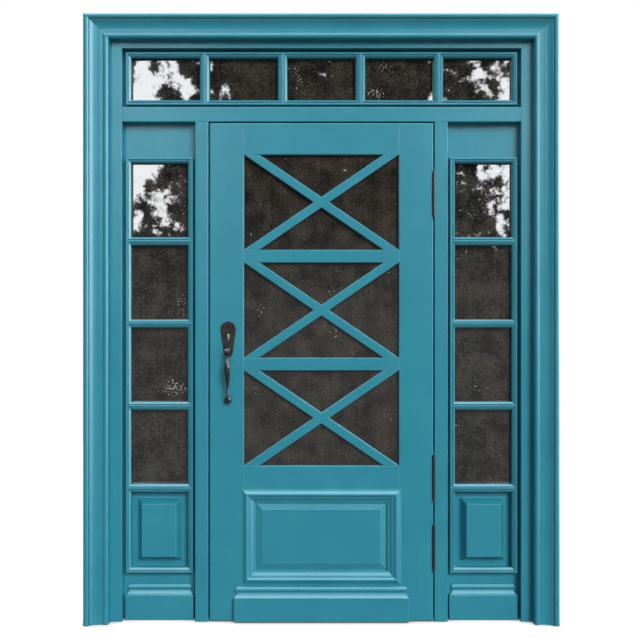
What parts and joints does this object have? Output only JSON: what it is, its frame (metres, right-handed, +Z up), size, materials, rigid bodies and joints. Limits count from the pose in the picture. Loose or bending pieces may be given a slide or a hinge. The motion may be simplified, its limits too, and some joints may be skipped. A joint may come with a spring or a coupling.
{
  "type": "entrance door set",
  "caption": "Painted timber entrance door set: a glazed, panelled leaf with crossed bars and a thumb latch handle, between fixed sidelights and under a transom light, in a moulded frame.",
  "frame": {"origin": "foot of the left jamb's outer face, in the plane of the wall's outer face", "axes": "+X to the right seen from outside, +Y into the wall, +Z up"},
  "size_m": [1.92, 0.1762, 2.47],
  "materials": {
    "painted_timber": "satin teal enamel paint",
    "glass": "smoked plate glass",
    "dark_bronze": "dark bronze, rubbed at the edges"
  },
  "bodies": {
    "frame": {"casing_left": "painted_timber", "casing_right": "painted_timber", "casing_head": "painted_timber", "jamb_left": "painted_timber", "jamb_right": "painted_timber", "head_jamb": "painted_timber", "mullion_left": "painted_timber", "mullion_right": "painted_timber", "transom_bar": "painted_timber", "transom_board": "painted_timber", "transom_sash": "painted_timber", "transom_glass": "glass", "left_sidelight_board": "painted_timber", "left_sidelight_sash": "painted_timber", "left_sidelight_glass": "glass", "left_sidelight_panel": "painted_timber", "left_sidelight_plinth": "painted_timber", "right_sidelight_board": "painted_timber", "right_sidelight_sash": "painted_timber", "right_sidelight_glass": "glass", "right_sidelight_panel": "painted_timber", "right_sidelight_plinth": "painted_timber", "hinge_frame_knuckles": "dark_bronze"},
    "leaf": {"leaf_latch_stile": "painted_timber", "leaf_hinge_stile": "painted_timber", "leaf_top_rail": "painted_timber", "leaf_upper_glazing_rail": "painted_timber", "leaf_lower_glazing_rail": "painted_timber", "leaf_lock_rail": "painted_timber", "leaf_bottom_rail": "painted_timber", "leaf_glass": "glass", "leaf_upper_cross": "painted_timber", "leaf_middle_cross": "painted_timber", "leaf_lower_cross": "painted_timber", "leaf_panel": "painted_timber", "leaf_panel_moulding": "painted_timber", "leaf_plinth": "painted_timber", "hinge_leaf_knuckles": "dark_bronze", "handle_plate": "dark_bronze", "handle_grip": "dark_bronze", "inner_handle_plate": "dark_bronze", "inner_handle_grip": "dark_bronze"},
    "thumb_latch": {"thumb_piece": "dark_bronze"}
  },
  "joints": [
    {"name": "leaf_hinge", "type": "hinge", "parent": "frame", "child": "leaf", "pos_m": [1.3495, -0.006, 0], "axis": [0, 0, 1], "range_deg": [0, 170]},
    {"name": "thumb_press", "type": "hinge", "parent": "leaf", "child": "thumb_latch", "pos_m": [0.51, -0.013, 1.112], "axis": [1, 0, 0], "range_deg": [0, 15], "stiffness_Nm_per_rad": 0.5, "springref_deg": -11.46}
  ]
}
